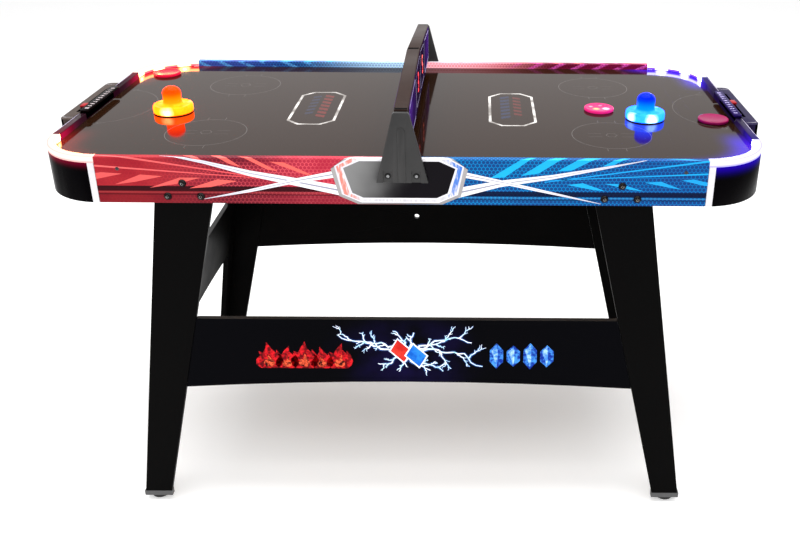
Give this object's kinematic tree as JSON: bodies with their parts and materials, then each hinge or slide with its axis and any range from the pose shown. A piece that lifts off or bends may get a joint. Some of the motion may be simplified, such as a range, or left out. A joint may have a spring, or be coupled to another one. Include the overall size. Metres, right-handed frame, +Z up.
{
  "type": "air hockey table",
  "caption": "Floor-standing air hockey table with a glossy playfield, lit corners, an overhead electronic score bridge, splayed legs, pushers and pucks.",
  "frame": {"origin": "on the floor, under the centre of the table", "axes": "+X along the table's length, +Y from the front long side to the rear one, +Z up"},
  "size_m": [1.422, 0.7222, 0.9189],
  "materials": {
    "apron_decal": "satin printed film over board, crimson to blue",
    "gloss_playfield": "near-black polished laminate with faint printed markings",
    "raw_board": "unpainted fibreboard",
    "black_gloss": "polished black",
    "black_plastic": "moulded, fine satin grain",
    "grey_plastic": "moulded charcoal grey, satin",
    "frosted_light": "frosted translucent cover, lit from inside",
    "black_laminate": "satin black laminate over board",
    "panel_decal": "printed laminate, lightning on near-black navy",
    "display_film": "printed violet display film with silver lines",
    "red_plastic": "polished",
    "black_steel": "blackened, satin",
    "cap_grey": "moulded grey",
    "amber_pusher": "translucent, lit from inside",
    "cyan_pusher": "translucent, lit from inside",
    "puck_plastic": "translucent red, one of them lit",
    "foot_rubber": "moulded, matte"
  },
  "bodies": {
    "table": {"apron_front": "apron_decal", "apron_rear": "apron_decal", "blower_housing": "black_plastic", "bridge_bracket_front": "grey_plastic", "bridge_bracket_rear": "grey_plastic", "corner_light_front_left": "frosted_light", "corner_light_front_right": "frosted_light", "corner_light_rear_left": "frosted_light", "corner_light_rear_right": "frosted_light", "corner_shell_front_left": "black_plastic", "corner_shell_front_right": "black_plastic", "corner_shell_rear_left": "black_plastic", "corner_shell_rear_right": "black_plastic", "end_rail_left": "black_gloss", "end_rail_right": "black_gloss", "goal_box_left": "grey_plastic", "goal_box_right": "grey_plastic", "leg_bolts_front_left": "black_steel", "leg_bolts_front_right": "black_steel", "leg_bolts_rear_left": "black_steel", "leg_bolts_rear_right": "black_steel", "leg_cap_front_left": "cap_grey", "leg_cap_front_right": "cap_grey", "leg_cap_rear_left": "cap_grey", "leg_cap_rear_right": "cap_grey", "leg_front_left_face_board": "black_laminate", "leg_front_left_side_board": "black_laminate", "leg_front_right_face_board": "black_laminate", "leg_front_right_side_board": "black_laminate", "leg_rear_left_face_board": "black_laminate", "leg_rear_left_side_board": "black_laminate", "leg_rear_right_face_board": "black_laminate", "leg_rear_right_side_board": "black_laminate", "playfield": "gloss_playfield", "plenum_base": "raw_board", "power_inlet": "black_plastic", "score_bridge_front": "grey_plastic", "score_bridge_rear": "grey_plastic", "score_display_left": "display_film", "score_display_right": "display_film", "score_strip_left": "black_plastic", "score_strip_right": "black_plastic", "stretcher_front": "panel_decal", "stretcher_left": "black_laminate", "stretcher_rear": "black_laminate", "stretcher_right": "black_laminate", "support_frame": "raw_board"},
    "score_slider_left": {"score_slider_left": "red_plastic"},
    "score_slider_right": {"score_slider_right": "red_plastic"},
    "pusher_left": {"pusher_left": "amber_pusher"},
    "pusher_right": {"pusher_right": "cyan_pusher"},
    "puck_lit": {"puck_lit": "puck_plastic"},
    "puck_goal": {"puck_goal": "puck_plastic"},
    "puck_corner": {"puck_corner": "puck_plastic"},
    "impeller": {"blower_impeller": "black_plastic"},
    "power_rocker": {"power_switch": "black_plastic"},
    "leveler_front_left": {"leveler_front_left": "foot_rubber"},
    "leveler_front_right": {"leveler_front_right": "foot_rubber"},
    "leveler_rear_left": {"leveler_rear_left": "foot_rubber"},
    "leveler_rear_right": {"leveler_rear_right": "foot_rubber"}
  },
  "joints": [
    {"name": "score_slider_left_slide", "type": "slide", "parent": "table", "child": "score_slider_left", "axis": [0, 1, 0], "range_m": [-0.025, 0.121]},
    {"name": "score_slider_right_slide", "type": "slide", "parent": "table", "child": "score_slider_right", "axis": [0, 1, 0], "range_m": [-0.083, 0.063]},
    {"name": "pusher_left_glide", "type": "slide", "parent": "table", "child": "pusher_left", "axis": [0, 1, 0], "range_m": [-0.2529, 0.3271]},
    {"name": "pusher_right_glide", "type": "slide", "parent": "table", "child": "pusher_right", "axis": [0, 1, 0], "range_m": [-0.2307, 0.3493]},
    {"name": "puck_lit_glide", "type": "slide", "parent": "table", "child": "puck_lit", "axis": [1, 0, 0], "range_m": [-0.83, 0.015]},
    {"name": "puck_goal_glide", "type": "slide", "parent": "table", "child": "puck_goal", "axis": [0, 1, 0], "range_m": [-0.182, 0.328]},
    {"name": "puck_corner_glide", "type": "slide", "parent": "table", "child": "puck_corner", "axis": [0, 1, 0], "range_m": [-0.534, 0.022]},
    {"name": "leveler_front_left_turn", "type": "hinge", "parent": "table", "child": "leveler_front_left", "pos_m": [-0.553, -0.3105, 0.012], "axis": [0, 0, 1], "continuous": true},
    {"name": "leveler_front_right_turn", "type": "hinge", "parent": "table", "child": "leveler_front_right", "pos_m": [0.553, -0.3105, 0.012], "axis": [0, 0, 1], "continuous": true},
    {"name": "leveler_rear_left_turn", "type": "hinge", "parent": "table", "child": "leveler_rear_left", "pos_m": [-0.553, 0.3105, 0.012], "axis": [0, 0, 1], "continuous": true},
    {"name": "leveler_rear_right_turn", "type": "hinge", "parent": "table", "child": "leveler_rear_right", "pos_m": [0.553, 0.3105, 0.012], "axis": [0, 0, 1], "continuous": true},
    {"name": "impeller_spin", "type": "hinge", "parent": "table", "child": "impeller", "pos_m": [0, 0, 0.7258], "axis": [0, 0, 1], "continuous": true},
    {"name": "power_rocker_tilt", "type": "hinge", "parent": "table", "child": "power_rocker", "pos_m": [0.253, 0.27, 0.7247], "axis": [1, 0, 0], "range_deg": [-16, 0]}
  ]
}
